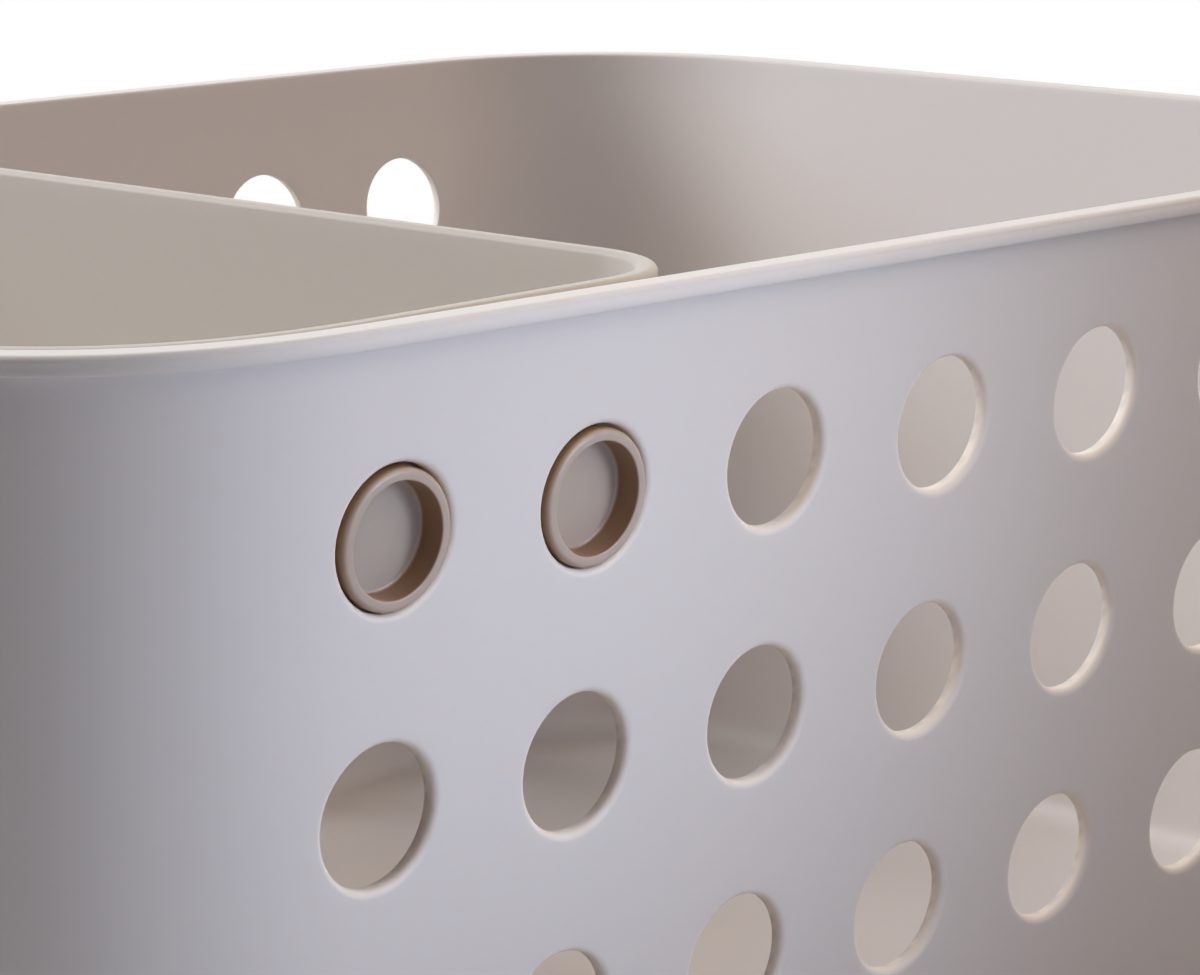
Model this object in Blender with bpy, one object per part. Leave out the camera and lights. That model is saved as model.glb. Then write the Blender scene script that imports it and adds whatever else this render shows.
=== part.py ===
"""A perforated storage basket with a shallow tray hung inside one end.

Metres, +Z up. The origin is at the centre of the basket's underside, X runs along the long
walls and -Y is the front. The tray hangs at the -X end on four hollow ring plugs, which sit
in the end holes of the top row of both long walls.
"""

import math

import bmesh
import bpy
from mathutils import Matrix, Vector

# Basket
RIM_LENGTH = 0.350
RIM_WIDTH = 0.240
HEIGHT = 0.142
CORNER_REACH = 0.060          # how far a corner runs along each wall at the rim's outer edge
CORNER_POWER = 2.5            # 2 is a circular corner, more is squarer
DRAFT = math.radians(5.3)     # lean of every wall from the vertical
WALL = 0.0023
FLOOR = 0.0025
FOOT_RADIUS = 0.007           # outside, where the wall meets the underside
FLOOR_RADIUS = 0.0055         # inside, where the wall meets the floor

# Rim: a flange that stands out round the top, with a lip that swells a little outside
RIM_OVERHANG = 0.0026
RIM_DEPTH = 0.00265
RIM_TOP_RADIUS = 0.00075
RIM_INNER_RADIUS = 0.0006
RIM_LOWER_RADIUS = 0.0003
CREASE_DEPTH = 0.00085        # from the rim's top to the crease above the swelling
LIP_BULGE = 0.0002            # how far the lip swells out between the crease and its lower edge

# Holes: a square grid in each long wall
HOLE_RADIUS = 0.0100
HOLE_EDGE_RADIUS = 0.0011     # soft outer edge of each hole
HOLE_COLUMNS = 7
HOLE_ROWS = 3
HOLE_PITCH_ALONG = 0.0370
HOLE_PITCH_DOWN = 0.0375      # measured down the slope of the wall
TOP_ROW_DEPTH = 0.0287        # from the rim's top to the top row, down the slope

# Tray
TRAY_GAP = 0.0022             # between the tray and the basket, at the tray's outer end
PARTITION_GAP = 0.0042        # the same at the partition, where the tray is narrower
TRAY_WALL = 0.0030
TRAY_FLOOR = 0.0022
TRAY_HEIGHT = 0.052
TRAY_RIM_DROP = 0.0005        # the tray's rim lies this far below the basket's
TRAY_RIM_RADIUS = 0.0010
TRAY_FOOT_RADIUS = 0.0060
TRAY_FLOOR_RADIUS = 0.0045
PARTITION_PAST_HOLE = 0.030   # from the second hole's centre to the tray's inner end
PARTITION_CORNER = 0.0220

# Ring plugs
PLUG_COLUMNS = 2              # the first two holes of the top row
PLUG_CLEARANCE = 0.0004       # between a plug and its hole, all round
PLUG_SEAT_GAP = 0.0003        # what is left of it under the plug, which hangs low in its hole
PLUG_WALL = 0.0017
PLUG_PROUD = 0.0004           # how far a plug stands out of the wall
PLUG_RECESS = 0.0040          # from the plug's outer end to the flat floor inside it
PLUG_LIP_RADIUS = 0.0008      # the rounder outer edge of the ring
PLUG_EDGE_RADIUS = 0.0004
SPIGOT_STEP = 0.0007          # the plug's inner end is this much slimmer, to sit in the tray
SPIGOT_DEPTH_SHARE = 0.5      # of the tray's wall that the spigot's pocket takes
FIT_GAP = 0.0003              # between a plug and the tray that carries it

# Facets and cutting
CORNER_STEPS = 9
LARGE_ARC_STEPS = 4
SMALL_ARC_STEPS = 2
SMALL_RADIUS = 0.0010         # an arc up to this radius has the few steps of a small one
LIP_STEPS = 2                 # from the middle of the lip's swelling to either end
HOLE_SIDES = 20
PLUG_SIDES = 28
OVERRUN = 0.004               # how far a cutter runs past what it cuts

BASKET_COLOUR = (0.74, 0.69, 0.665, 1.0)
TRAY_COLOUR = (0.55, 0.485, 0.43, 1.0)
PLUG_COLOUR = (0.49, 0.40, 0.335, 1.0)
SATIN = 0.42

LEAN = math.tan(DRAFT)


def clear_scene():
    for obj in list(bpy.data.objects):
        bpy.data.objects.remove(obj, do_unlink=True)


def plastic(name, colour, roughness):
    material = bpy.data.materials.new(name)
    material.use_nodes = True
    shader = material.node_tree.nodes["Principled BSDF"]
    shader.inputs["Base Color"].default_value = colour
    shader.inputs["Roughness"].default_value = roughness
    shader.inputs["Metallic"].default_value = 0.0
    material.diffuse_color = colour
    return material


def reach_at(reach, inset):
    """A corner shrinks as the outline moves in, but never to nothing."""
    return reach * reach / (reach + inset)


def corner_arc(centre, reach, power, turn, steps):
    """A quarter of a superellipse round centre, anticlockwise from the heading turn."""
    points = []
    for step in range(steps + 1):
        angle = 0.5 * math.pi * step / steps
        along = reach * math.cos(angle) ** (2.0 / power)
        across = reach * math.sin(angle) ** (2.0 / power)
        point = Matrix.Rotation(turn, 2) @ Vector((along, across))
        points.append(Vector(centre) + point)
    return points


def outline(low_end, high_end):
    """A rounded rectangle, anticlockwise. Each end has (x, half width, corner reach, power)."""
    points = []
    for end, side, turn in ((high_end, 1, 0.0), (low_end, 1, 0.5), (low_end, -1, 1.0), (high_end, -1, 1.5)):
        x_end, half_width, reach, power = end
        x = x_end - reach if end is high_end else x_end + reach
        y = side * (half_width - reach)
        points += corner_arc((x, y), reach, power, turn * math.pi, CORNER_STEPS)
    return points


def basket_outline(inset):
    end = 0.5 * RIM_LENGTH - inset
    across = 0.5 * RIM_WIDTH - inset
    reach = reach_at(CORNER_REACH, inset)
    return outline((-end, across, reach, CORNER_POWER), (end, across, reach, CORNER_POWER))


def past_rim(gap):
    """How far inside the rim's outer edge a piece lies that is gap away from the wall's inside."""
    return RIM_OVERHANG + WALL / math.cos(DRAFT) + gap


def tray_outline(inset):
    """The tray's outer end follows the basket, and its inner end is the partition.

    Its long sides draw in a little towards the partition.
    """
    outer = past_rim(TRAY_GAP) + inset
    low_end = (
        -0.5 * RIM_LENGTH + outer,
        0.5 * RIM_WIDTH - outer,
        reach_at(CORNER_REACH, outer),
        CORNER_POWER,
    )
    high_end = (
        partition_face() - inset,
        0.5 * RIM_WIDTH - past_rim(PARTITION_GAP) - inset,
        reach_at(PARTITION_CORNER, inset),
        2.0,
    )
    return outline(low_end, high_end)


def partition_face():
    return hole_x(PLUG_COLUMNS - 1) + PARTITION_PAST_HOLE


def tray_gap_at(x):
    """The gap between the tray's straight side and the basket, along a long wall."""
    start = -0.5 * RIM_LENGTH + past_rim(TRAY_GAP) + reach_at(CORNER_REACH, past_rim(TRAY_GAP))
    end = partition_face() - PARTITION_CORNER
    share = min(max((x - start) / (end - start), 0.0), 1.0)
    return TRAY_GAP + share * (PARTITION_GAP - TRAY_GAP)


def rounded(corners, steps):
    """Rounds a polyline in a plane. corners holds (a, b, radius), and 0 stays sharp, as do the ends."""
    points = [Vector(corners[0][:2])]
    for before, corner, after in zip(corners, corners[1:], corners[2:]):
        here = Vector(corner[:2])
        radius = corner[2]
        if radius == 0.0:
            points.append(here)
            continue
        back = (Vector(before[:2]) - here).normalized()
        ahead = (Vector(after[:2]) - here).normalized()
        half = 0.5 * back.angle(ahead)
        centre = here + (back + ahead).normalized() * (radius / math.sin(half))
        start = here + back * (radius / math.tan(half)) - centre
        end = here + ahead * (radius / math.tan(half)) - centre
        count = steps if radius > SMALL_RADIUS else SMALL_ARC_STEPS
        sweep = start.angle_signed(end)
        for step in range(count + 1):
            turned = Matrix.Rotation(-sweep * step / count, 2) @ start
            points.append(centre + turned)
    points.append(Vector(corners[-1][:2]))
    return points


def lip_corners(outer, low, high, lower_radius):
    """The lip's outside from low to high: an arc that swells out to the inset outer halfway up."""
    half = 0.5 * (high - low)
    radius = 0.5 * (half * half / LIP_BULGE + LIP_BULGE)
    reach = math.asin(half / radius)
    corners = []
    for step in range(-LIP_STEPS, LIP_STEPS + 1):
        angle = reach * step / LIP_STEPS
        inset = outer + radius * (1.0 - math.cos(angle))
        height = low + half + radius * math.sin(angle)
        corners.append((inset, height, lower_radius if step == -LIP_STEPS else 0.0))
    return corners


def shell_profile(top, bottom, outer, wall, floor, radii, flange=(0.0, 0.0)):
    """The section of an open box, from its underside out, up, over the rim and down inside.

    It is a list of (inset, height). outer is the outer face's inset at the top, and flange is
    the overhang and the depth of the rim that stands out there.
    """
    foot, inside, rim_outer, rim_inner, rim_lower = radii
    overhang, depth = flange
    height = top - bottom
    across = wall / math.cos(DRAFT)
    foot_inset = outer + height * LEAN
    floor_inset = outer + across + (height - floor) * LEAN
    middle = floor_inset + foot + inside
    corners = [(middle, bottom, 0.0), (foot_inset, bottom, foot)]
    brow = outer
    if depth > 0.0:
        brow = outer - overhang + LIP_BULGE
        corners.append((outer + depth * LEAN, top - depth, rim_lower))
        corners += lip_corners(outer - overhang, top - depth, top - CREASE_DEPTH, rim_lower)
    corners.append((brow, top, rim_outer))
    corners.append((outer + across, top, rim_inner))
    corners.append((floor_inset, bottom + floor, inside))
    corners.append((middle, bottom + floor, 0.0))
    return rounded(corners, LARGE_ARC_STEPS)


def lofted_shell(name, profile, outline_at):
    """Carries the profile round the outline and closes the underside and the floor."""
    mesh = bmesh.new()
    rings = []
    for inset, height in profile:
        ring = [mesh.verts.new((point.x, point.y, height)) for point in outline_at(inset)]
        rings.append(ring)
    for lower, upper in zip(rings, rings[1:]):
        for index in range(len(lower)):
            following = (index + 1) % len(lower)
            mesh.faces.new((lower[index], lower[following], upper[following], upper[index]))
    mesh.faces.new(list(reversed(rings[0])))
    mesh.faces.new(rings[-1])
    return finished_mesh(name, mesh)


def turned_body(mesh, profile, sides, place):
    """Turns a (radius, height) profile about the local Z axis. It starts and ends on the axis."""
    rings = []
    for radius, height in profile[1:-1]:
        ring = []
        for side in range(sides):
            angle = 2.0 * math.pi * side / sides
            spot = Vector((radius * math.cos(angle), radius * math.sin(angle), height))
            ring.append(mesh.verts.new(place @ spot))
        rings.append(ring)
    for lower, upper in zip(rings, rings[1:]):
        for index in range(sides):
            following = (index + 1) % sides
            mesh.faces.new((lower[index], lower[following], upper[following], upper[index]))
    mesh.faces.new(list(reversed(rings[0])))
    mesh.faces.new(rings[-1])


def finished_mesh(name, mesh):
    bmesh.ops.recalc_face_normals(mesh, faces=mesh.faces)
    data = bpy.data.meshes.new(name)
    mesh.to_mesh(data)
    mesh.free()
    data.shade_smooth()
    data.set_sharp_from_angle(angle=math.radians(35.0))
    return data


def add_object(name, data, material=None, origin=Vector()):
    """Links a mesh made in the part's frame as an object whose own origin is at origin."""
    data.transform(Matrix.Translation(-origin))
    obj = bpy.data.objects.new(name, data)
    obj.location = origin
    if material:
        data.materials.append(material)
    bpy.context.scene.collection.objects.link(obj)
    return obj


def cut(obj, cutter):
    cutter.hide_render = True
    cutter.display_type = "WIRE"
    modifier = obj.modifiers.new(cutter.name, "BOOLEAN")
    modifier.operation = "DIFFERENCE"
    modifier.solver = "EXACT"
    modifier.object = cutter


def hole_x(column):
    return (column - 0.5 * (HOLE_COLUMNS - 1)) * HOLE_PITCH_ALONG


def hole_frame(side, column, row):
    """Places local Z along a hole's axis, outwards, with its zero on the wall's outer face."""
    down = TOP_ROW_DEPTH + row * HOLE_PITCH_DOWN
    x = hole_x(column)
    y = side * (0.5 * RIM_WIDTH - RIM_OVERHANG - down * math.sin(DRAFT))
    z = HEIGHT - down * math.cos(DRAFT)
    along = Vector((1.0, 0.0, 0.0))
    outwards = Vector((0.0, side * math.cos(DRAFT), -math.sin(DRAFT)))
    upwards = outwards.cross(along)
    turn = Matrix((along, upwards, outwards)).transposed().to_4x4()
    return Matrix.Translation((x, y, z)) @ turn


def plug_frame(side, column):
    """A plug hangs low in its hole, so that it rests on the hole's lower edge."""
    sag = PLUG_CLEARANCE - PLUG_SEAT_GAP
    return Matrix.Translation((0.0, 0.0, -sag)) @ hole_frame(side, column, 0)


def make_basket(material):
    radii = (FOOT_RADIUS, FLOOR_RADIUS, RIM_TOP_RADIUS, RIM_INNER_RADIUS, RIM_LOWER_RADIUS)
    profile = shell_profile(
        HEIGHT, 0.0, RIM_OVERHANG, WALL, FLOOR, radii, (RIM_OVERHANG, RIM_DEPTH)
    )
    basket = add_object("basket_body", lofted_shell("basket_body", profile, basket_outline), material)
    cut(basket, make_hole_cutter())
    return basket


def make_hole_cutter():
    """Every hole of both long walls, as tools that widen outwards to soften the outer edge."""
    profile = (
        (0.0, -WALL - OVERRUN),
        (HOLE_RADIUS, -WALL - OVERRUN),
        (HOLE_RADIUS, -HOLE_EDGE_RADIUS),
        (HOLE_RADIUS + HOLE_EDGE_RADIUS + OVERRUN, OVERRUN),
        (0.0, OVERRUN),
    )
    mesh = bmesh.new()
    for side in (-1, 1):
        for column in range(HOLE_COLUMNS):
            for row in range(HOLE_ROWS):
                turned_body(mesh, profile, HOLE_SIDES, hole_frame(side, column, row))
    return add_object("hole_tools", finished_mesh("hole_tools", mesh))


def tray_bottom():
    return HEIGHT - TRAY_RIM_DROP - TRAY_HEIGHT


def make_tray(material, carrier):
    radii = (TRAY_FOOT_RADIUS, TRAY_FLOOR_RADIUS, TRAY_RIM_RADIUS, TRAY_RIM_RADIUS, 0.0)
    profile = shell_profile(
        HEIGHT - TRAY_RIM_DROP, tray_bottom(), 0.0, TRAY_WALL, TRAY_FLOOR, radii
    )
    data = lofted_shell("insert_tray", profile, tray_outline)
    tray = add_object("insert_tray", data, material, carrier.location)
    hang_on(carrier, tray)
    cut(tray, make_pocket_cutter())
    return tray


def hang_on(carrier, obj):
    """Parents obj to the carrier and leaves it where it is."""
    place = obj.matrix_basis.copy()
    obj.parent = carrier
    obj.matrix_basis = Matrix.Translation(-carrier.location) @ place


def tray_face(x):
    """How far behind the basket's outer face the tray's lies at x, along a hole's axis."""
    return WALL + (tray_gap_at(x) - TRAY_RIM_DROP * LEAN) * math.cos(DRAFT)


def plug_radius():
    return HOLE_RADIUS - PLUG_CLEARANCE


def spigot_radius():
    return plug_radius() - SPIGOT_STEP


def pocket_floor(column):
    return -tray_face(hole_x(column)) - SPIGOT_DEPTH_SHARE * TRAY_WALL


def make_pocket_cutter():
    """Blind pockets in the tray's outside, one for each plug's spigot."""
    radius = spigot_radius() + FIT_GAP
    mesh = bmesh.new()
    for side in (-1, 1):
        for column in range(PLUG_COLUMNS):
            floor = pocket_floor(column)
            profile = ((0.0, floor), (radius, floor), (radius, OVERRUN), (0.0, OVERRUN))
            turned_body(mesh, profile, PLUG_SIDES, plug_frame(side, column))
    return add_object("pocket_tools", finished_mesh("pocket_tools", mesh))


def make_plug_mesh(column):
    """A cup with an open outer end and a slimmer inner end, turned about the hole's axis."""
    outer = plug_radius()
    inner = outer - PLUG_WALL
    shoulder = -tray_face(hole_x(column) - outer) + FIT_GAP
    recess = PLUG_PROUD - PLUG_RECESS
    tip = pocket_floor(column) + FIT_GAP
    corners = (
        (0.0, tip, 0.0),
        (spigot_radius(), tip, PLUG_EDGE_RADIUS),
        (spigot_radius(), shoulder, 0.0),
        (outer, shoulder, PLUG_EDGE_RADIUS),
        (outer, PLUG_PROUD, PLUG_LIP_RADIUS),
        (inner, PLUG_PROUD, PLUG_EDGE_RADIUS),
        (inner, recess, PLUG_EDGE_RADIUS),
        (0.0, recess, 0.0),
    )
    mesh = bmesh.new()
    turned_body(mesh, rounded(corners, SMALL_ARC_STEPS), PLUG_SIDES, Matrix.Identity(4))
    return finished_mesh("ring_plug", mesh)


def make_plugs(material, carrier):
    for column, place in ((0, "left"), (1, "right")):
        data = make_plug_mesh(column)
        data.materials.append(material)
        for side, wall in ((-1, "front"), (1, "rear")):
            plug = bpy.data.objects.new(f"ring_plug_{wall}_{place}", data)
            plug.matrix_basis = plug_frame(side, column)
            bpy.context.scene.collection.objects.link(plug)
            hang_on(carrier, plug)


def make_carrier():
    """An empty at the tray's middle, which the tray and its plugs lift off with."""
    carrier = bpy.data.objects.new("tray_lift", None)
    tray_end = -0.5 * RIM_LENGTH + past_rim(TRAY_GAP)
    carrier.location = (0.5 * (tray_end + partition_face()), 0.0, tray_bottom())
    bpy.context.scene.collection.objects.link(carrier)
    return carrier


def main():
    clear_scene()
    basket_plastic = plastic("basket_plastic", BASKET_COLOUR, SATIN)
    tray_plastic = plastic("tray_plastic", TRAY_COLOUR, SATIN)
    make_basket(basket_plastic)
    carrier = make_carrier()
    make_tray(tray_plastic, carrier)
    make_plugs(plastic("plug_plastic", PLUG_COLOUR, SATIN), carrier)


main()
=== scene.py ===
# %% [markdown]
# # A perforated storage basket with a lift-out tray
# The real object is moulded from satin polypropylene. A pale basket with sloping walls has
# three rows of round holes in each long wall, and a beige tray hangs inside one end on four
# hollow ring plugs. The rigid model of it is already measured and fixed, so this script only
# dresses it: it builds finer surfaces in the same places and gives them their finish.

import math

import bmesh
import bpy
import numpy as np
from mathutils import Matrix, Vector


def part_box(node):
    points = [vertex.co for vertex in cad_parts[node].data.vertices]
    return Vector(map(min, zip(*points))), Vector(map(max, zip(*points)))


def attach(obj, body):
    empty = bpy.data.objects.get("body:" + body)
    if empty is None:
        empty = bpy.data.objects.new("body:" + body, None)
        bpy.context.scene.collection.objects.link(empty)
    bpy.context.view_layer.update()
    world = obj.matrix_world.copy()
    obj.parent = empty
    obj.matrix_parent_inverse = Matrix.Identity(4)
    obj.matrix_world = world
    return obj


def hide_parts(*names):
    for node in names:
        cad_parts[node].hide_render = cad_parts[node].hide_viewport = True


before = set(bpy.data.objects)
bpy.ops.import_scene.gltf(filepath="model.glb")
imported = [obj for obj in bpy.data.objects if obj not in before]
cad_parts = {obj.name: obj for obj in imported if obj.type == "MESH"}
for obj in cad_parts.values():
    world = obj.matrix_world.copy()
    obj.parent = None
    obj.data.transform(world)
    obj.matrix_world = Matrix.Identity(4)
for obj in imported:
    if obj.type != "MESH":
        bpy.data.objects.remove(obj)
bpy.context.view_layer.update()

# %% [markdown]
# ## The sizes that everything follows
# The outer sizes are read from the measured model, so that the dressed basket can't drift
# away from it. The walls, holes and edges can't be read from a box, so they are written here
# once, in millimetres, as one would read them off a drawing.

# %% Sizes of the basket
MM = 0.001
basket_low, basket_high = (np.array(corner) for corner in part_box("basket_body"))
HALF_LENGTH, HALF_WIDTH = 0.5 * (basket_high - basket_low)[:2]
HEIGHT = basket_high[2]
CORNER_REACH = 60 * MM
CORNER_POWER = 2.5
ROUND_POWER = 2.0
DRAFT = math.radians(5.3)
WALL = 2.3 * MM
FLOOR = 2.5 * MM
FOOT_RADIUS = 7 * MM
FLOOR_RADIUS = 5.5 * MM
RIM_OVERHANG = 2.6 * MM
RIM_DEPTH = 2.65 * MM
RIM_TOP_RADIUS = 0.75 * MM
RIM_INNER_RADIUS = 0.6 * MM
RIM_LOWER_RADIUS = 0.3 * MM
LIP_BULGE = 0.2 * MM
CREASE_DEPTH = 0.85 * MM
MERGE_DISTANCE = 0.002 * MM
print("rim", 2 * HALF_LENGTH, "by", 2 * HALF_WIDTH, "height", HEIGHT)

# %% Sizes of the holes
HOLE_RADIUS = 10 * MM
HOLE_EDGE_RADIUS = 1.1 * MM
HOLE_BACK_RADIUS = 0.2 * MM
HOLE_COLUMNS = 7
HOLE_ROWS = 3
PITCH_ALONG = 37 * MM
PITCH_DOWN = 37.5 * MM
TOP_ROW_DEPTH = 28.7 * MM
FIELD_HALF = 0.5 * HOLE_COLUMNS * PITCH_ALONG
FIELD_TOP = TOP_ROW_DEPTH - 0.5 * PITCH_DOWN
FIELD_BOTTOM = FIELD_TOP + HOLE_ROWS * PITCH_DOWN

# %% Sizes of the tray and its ring plugs
tray_low, tray_high = (np.array(corner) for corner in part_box("insert_tray"))
TRAY_GAP = 2.2 * MM
PARTITION_GAP = 4.2 * MM
TRAY_WALL = 3.0 * MM
TRAY_FLOOR = 2.2 * MM
TRAY_RIM_RADIUS = 1.0 * MM
TRAY_FOOT_RADIUS = 6 * MM
TRAY_FLOOR_RADIUS = 4.5 * MM
PARTITION_CORNER = 22 * MM
PLUG_COLUMNS = 2
PLUG_CLEARANCE = 0.4 * MM
PLUG_SEAT_GAP = 0.3 * MM
PLUG_WALL = 1.7 * MM
PLUG_PROUD = 0.4 * MM
PLUG_RECESS = 4.0 * MM
PLUG_OUTER_EDGE = 0.8 * MM
PLUG_INNER_EDGE = 0.25 * MM
PLUG_FLOOR_FILLET = 0.5 * MM
FIT_GAP = 0.3 * MM
print("tray", (tray_high - tray_low) / MM, "mm")

# %% How finely the surfaces are divided
SIDE_STEPS = 12
ARC_STEPS = 8
SMALL_ARC_STEPS = 4
MOUTH_ARC_STEPS = 6
SWELL_STEPS = 12
SWELL_SKIP = 2  # steps of the swell that the arc of the lip's lower edge replaces
END_STEPS = 10
CORNER_STEPS = 26
FIELD_STEPS = HOLE_COLUMNS * SIDE_STEPS // 2
PLUG_SIDES = 96

# Shares say where on the way between two corners the points of a flat part lie.
FACE_SHARES = (1, 0.72, 0.45, 0.24, 0.1)
FROM_MIDDLE_SHARES = (0, 0.5, 0.9)
TO_MIDDLE_SHARES = (0.1, 0.5, 1)
BESIDE_FIELD_SHARES = (0.12, 0.5, 0.88)
FLAT_SHARES = (0.1, 0.5, 0.9)
HALFWAY_SHARES = (0.5,)
TRAY_SIDE_SHARES = (0.05, 0.3, 0.65, 0.95)
PLUG_BACK_SHARES = (0.02, 0.1, 0.9)
PLUG_WELL_SHARES = (0.1, 0.5, 0.9, 0.98)

# %% [markdown]
# ## From flat drawing to sloping wall
# A drafted wall is awkward to model in X, Y and Z, but easy in its own coordinates: how far
# along it, how far down its slope, and how deep into its thickness. Every piece of the shell
# is drawn in those three, and one function then carries them to their place. The outline
# itself moves inwards on the way down, and its corners are superellipses, which leave the
# straight wall without the sudden change of curvature that a plain arc has.

# %% Plan of the basket
def corner_reach(inset, reach=CORNER_REACH):
    """How long a corner is once its outline has moved in: reach squared over reach plus inset."""
    return reach**2 / (reach + inset)


def wall_line(x, inset):
    """The long wall's distance from the middle at x.

    It is straight, and then falls by reach times 1 - (1 - u^p)^(1/p), where u runs from 0 to 1
    along the corner and p is the superellipse's power.
    """
    reach = corner_reach(inset)
    u = np.clip((np.abs(x) - (HALF_LENGTH - inset - reach)) / reach, 0, 1)
    fall = reach * (1 - (1 - u**CORNER_POWER) ** (1 / CORNER_POWER))
    return HALF_WIDTH - inset - fall


def basket_plan(inset):
    """The closed outline at each inset, anticlockwise from the middle of the +X end.

    A quarter is the end wall's straight half, a superellipse (cos^(2/p), sin^(2/p)) that stops
    where the field of holes begins, and the long wall with a point at every edge of the cells.
    Mirrored three times it makes the ring.
    """
    inset = np.asarray(inset, float)[..., None]
    reach = corner_reach(inset)
    corner_x = HALF_LENGTH - inset - reach
    corner_y = HALF_WIDTH - inset - reach
    end_y = corner_y * np.linspace(0, 1, END_STEPS + 1)
    end_x = np.broadcast_to(HALF_LENGTH - inset, end_y.shape)
    last_turn = np.arccos(((FIELD_HALF - corner_x) / reach) ** (CORNER_POWER / 2))
    turn = last_turn * np.linspace(0, 1, CORNER_STEPS + 1)
    turn_x = corner_x + reach * np.cos(turn) ** (2 / CORNER_POWER)
    turn_y = corner_y + reach * np.sin(turn) ** (2 / CORNER_POWER)
    field_x = np.linspace(FIELD_HALF, 0, FIELD_STEPS + 1)
    field_x = np.broadcast_to(field_x, end_y.shape[:-1] + field_x.shape)
    field_y = wall_line(field_x, inset)
    x = np.concatenate((end_x[..., :-1], turn_x[..., :-1], field_x), axis=-1)
    y = np.concatenate((end_y[..., :-1], turn_y[..., :-1], field_y), axis=-1)
    quarter = np.stack((x, y), axis=-1)
    back = quarter[..., ::-1, :]
    rings = (quarter, back * (-1, 1), quarter * (-1, -1), back * (1, -1))
    return np.concatenate([part[..., :-1, :] for part in rings], axis=-2)


quarter_in_field = np.arange(END_STEPS + CORNER_STEPS + FIELD_STEPS) >= END_STEPS + CORNER_STEPS
half_in_field = np.concatenate((quarter_in_field, quarter_in_field[::-1]))
in_field = np.concatenate((half_in_field, half_in_field))
print("points round the basket:", basket_plan(0.0).shape[0])

# %% Section of a shell
def arc(before, corner, after, radius, steps):
    """A rounded corner between two lines.

    Its centre lies on the corner's bisector at radius / sin(half angle), and it touches the
    lines at radius / tan(half angle). With A and B from the centre to those two places, and a
    the angle between them, its points are at (sin((1-s)a) A + sin(sa) B) / sin(a).
    """
    before, corner, after = (np.array(point, float) for point in (before, corner, after))
    back = (before - corner) / np.linalg.norm(before - corner)
    ahead = (after - corner) / np.linalg.norm(after - corner)
    half = 0.5 * math.acos(np.clip(back @ ahead, -1, 1))
    middle = (back + ahead) / np.linalg.norm(back + ahead)
    centre = corner + middle * radius / math.sin(half)
    first = corner + back * radius / math.tan(half) - centre
    last = corner + ahead * radius / math.tan(half) - centre
    sweep = math.pi - 2 * half
    share = np.linspace(0, 1, steps + 1)[:, None]
    spokes = (np.sin((1 - share) * sweep) * first + np.sin(share * sweep) * last) / math.sin(sweep)
    return centre + spokes


def line(start, end, shares):
    """Points between start and end at the given shares of the way."""
    start, end = np.array(start, float), np.array(end, float)
    return start + np.asarray(shares, float)[:, None] * (end - start)


def on_wall(down, deep):
    """(inset, height) of a point that far down the outer face's slope and that deep in the wall."""
    inset = RIM_OVERHANG + down * math.sin(DRAFT) + deep * math.cos(DRAFT)
    height = HEIGHT - down * math.cos(DRAFT) + deep * math.sin(DRAFT)
    return np.stack(np.broadcast_arrays(inset, height), axis=-1)


# %% [markdown]
# ## One hole, drawn flat
# A hole cut with a Boolean leaves long thin faces that spoil the soft light on a satin wall.
# Each hole therefore gets a square cell of its own, with lines that run from the square's
# sides to the circle, round the soft outer edge, through the wall and back out to the square
# on the inside. The cells are laid side by side like tiles, and share their edges' points.

# %% The cell of a hole
def square_and_circle():
    """Matching directions round a unit square and a unit circle, anticlockwise.

    Equal steps along each side of the square go with equal angles of the circle.
    """
    step = np.linspace(-1, 1, SIDE_STEPS + 1)[:-1]
    ones = np.ones(SIDE_STEPS)
    square = np.stack(
        (np.concatenate((ones, -step, -ones, step)), np.concatenate((step, ones, -step, -ones))), axis=-1
    )
    angle = np.linspace(-math.pi / 4, math.pi * 7 / 4, 4 * SIDE_STEPS + 1)[:-1]
    return square, np.stack((np.cos(angle), np.sin(angle)), axis=-1)


def hole_cell():
    """One cell as rings of (along, down, deep), from the outer square to the inner one.

    A ring on a face is share x square + (1 - share) x circle. The outer edge is a quarter
    circle of points radius + r(1 - sin a), r(1 - cos a), and the inner edge a smaller one.
    """
    square, circle = square_and_circle()
    square = square * (0.5 * PITCH_ALONG, 0.5 * PITCH_DOWN)
    face_shares = np.array(FACE_SHARES)[:, None, None]
    outside = face_shares * square + (1 - face_shares) * circle * (HOLE_RADIUS + HOLE_EDGE_RADIUS)
    inside = face_shares * square + (1 - face_shares) * circle * (HOLE_RADIUS + HOLE_BACK_RADIUS)
    turn = np.linspace(0, math.pi / 2, ARC_STEPS)
    edge_radius = HOLE_RADIUS + HOLE_EDGE_RADIUS * (1 - np.sin(turn))
    edge_depth = HOLE_EDGE_RADIUS * (1 - np.cos(turn))
    turn = np.linspace(0, math.pi / 2, SMALL_ARC_STEPS)
    back_radius = HOLE_RADIUS + HOLE_BACK_RADIUS * (1 - np.cos(turn))
    back_depth = WALL - HOLE_BACK_RADIUS * (1 - np.sin(turn))
    radius = np.concatenate((edge_radius, back_radius))[:, None, None]
    throat = radius * circle
    flat = np.concatenate((outside, throat, inside[::-1]))
    on_face = np.zeros(len(FACE_SHARES))
    depth = np.concatenate((on_face, edge_depth, back_depth, on_face + WALL))
    deep = np.broadcast_to(depth[:, None, None], flat.shape[:2] + (1,))
    return np.concatenate((flat, deep), axis=-1)


def wall_point(along, down, deep, side):
    """Carries (along, down, deep) to the front (side -1) or rear (side 1) wall."""
    section = on_wall(down, deep)
    y = side * wall_line(along, section[..., 0])
    return np.stack(np.broadcast_arrays(along, y, section[..., 1]), axis=-1)


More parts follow.
